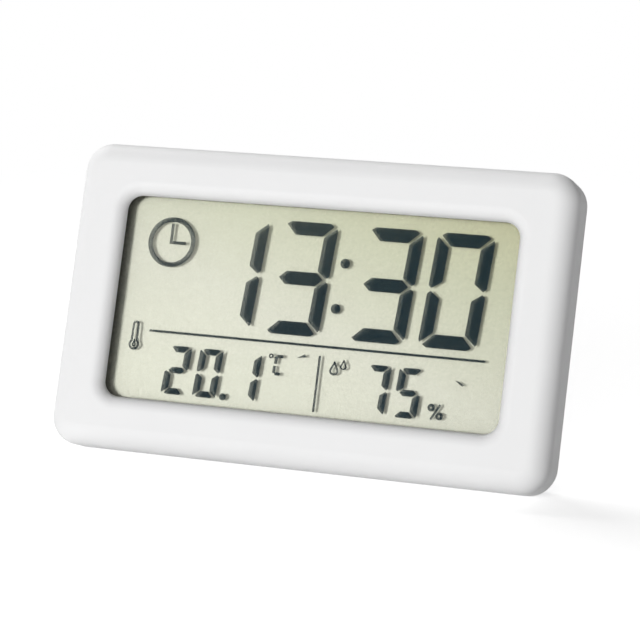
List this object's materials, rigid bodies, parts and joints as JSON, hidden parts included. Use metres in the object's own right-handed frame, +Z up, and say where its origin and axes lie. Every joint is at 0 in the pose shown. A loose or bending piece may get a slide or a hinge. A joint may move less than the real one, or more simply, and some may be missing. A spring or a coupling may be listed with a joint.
{
  "type": "thermometer hygrometer clock",
  "caption": "Slim white desk clock with a rounded bezel and a large liquid crystal display of time, temperature and humidity, leaning on a folding stand, with a keyhole for a wall.",
  "frame": {"origin": "on the table, under the middle of the standing clock's box", "axes": "+X to the right seen from the front, +Y from the front to the back, +Z up"},
  "size_m": [0.1, 0.034, 0.058],
  "materials": {
    "case_white": "satin",
    "button_grey": "satin",
    "gasket_foam": "matte",
    "polariser_film": "anti-glare",
    "display_glass": "clear",
    "edge_seal": "matte",
    "reflector": "satin silver",
    "connector_rubber": "matte",
    "board_green": "solder mask",
    "resin_black": "gloss",
    "chip_ceramic": "satin",
    "plated_steel": "plated",
    "contact_metal": "plated",
    "sensor_white": "matte",
    "bead_black": "gloss",
    "switch_black": "matte"
  },
  "bodies": {
    "case": {"front_shell": "case_white", "rear_cover": "case_white", "switch_bodies": "switch_black", "display_gasket": "gasket_foam", "front_polariser": "polariser_film", "lcd_front_glass": "display_glass", "lcd_rear_glass": "display_glass", "lcd_edge_seal": "edge_seal", "reflector_film": "reflector", "upper_connector_strip": "connector_rubber", "lower_connector_strip": "connector_rubber", "circuit_board": "board_green", "controller_dome": "resin_black", "chip_components": "chip_ceramic", "timing_crystal": "plated_steel", "coin_cell": "plated_steel", "board_screws": "plated_steel", "case_screws": "plated_steel", "negative_contact": "contact_metal", "positive_contact": "contact_metal", "humidity_sensor": "sensor_white", "thermistor": "bead_black"},
    "stand": {"stand": "case_white"},
    "battery_cover": {"battery_cover": "case_white"},
    "up_key": {"up_button": "button_grey", "up_plunger": "switch_black"},
    "mode_key": {"mode_button": "button_grey", "mode_plunger": "switch_black"},
    "down_key": {"down_button": "button_grey", "down_plunger": "switch_black"}
  },
  "joints": [
    {"name": "stand_fold", "type": "hinge", "parent": "case", "child": "stand", "pos_m": [0, 0.00726, 0.03636], "axis": [1, 0, 0], "range_deg": [-35, 0]},
    {"name": "battery_cover_turn", "type": "hinge", "parent": "case", "child": "battery_cover", "pos_m": [0.03045, 0.00495, 0.02651], "axis": [0, 0.9291, -0.3697], "range_deg": [0, 50]},
    {"name": "up_press", "type": "slide", "parent": "case", "child": "up_key", "axis": [0, -0.9291, 0.3697], "range_m": [0, 0.0004], "stiffness_N_per_m": 300, "springref_m": -0.0003},
    {"name": "mode_press", "type": "slide", "parent": "case", "child": "mode_key", "axis": [0, -0.9291, 0.3697], "range_m": [0, 0.0004], "stiffness_N_per_m": 300, "springref_m": -0.0003},
    {"name": "down_press", "type": "slide", "parent": "case", "child": "down_key", "axis": [0, -0.9291, 0.3697], "range_m": [0, 0.0004], "stiffness_N_per_m": 300, "springref_m": -0.0003}
  ]
}
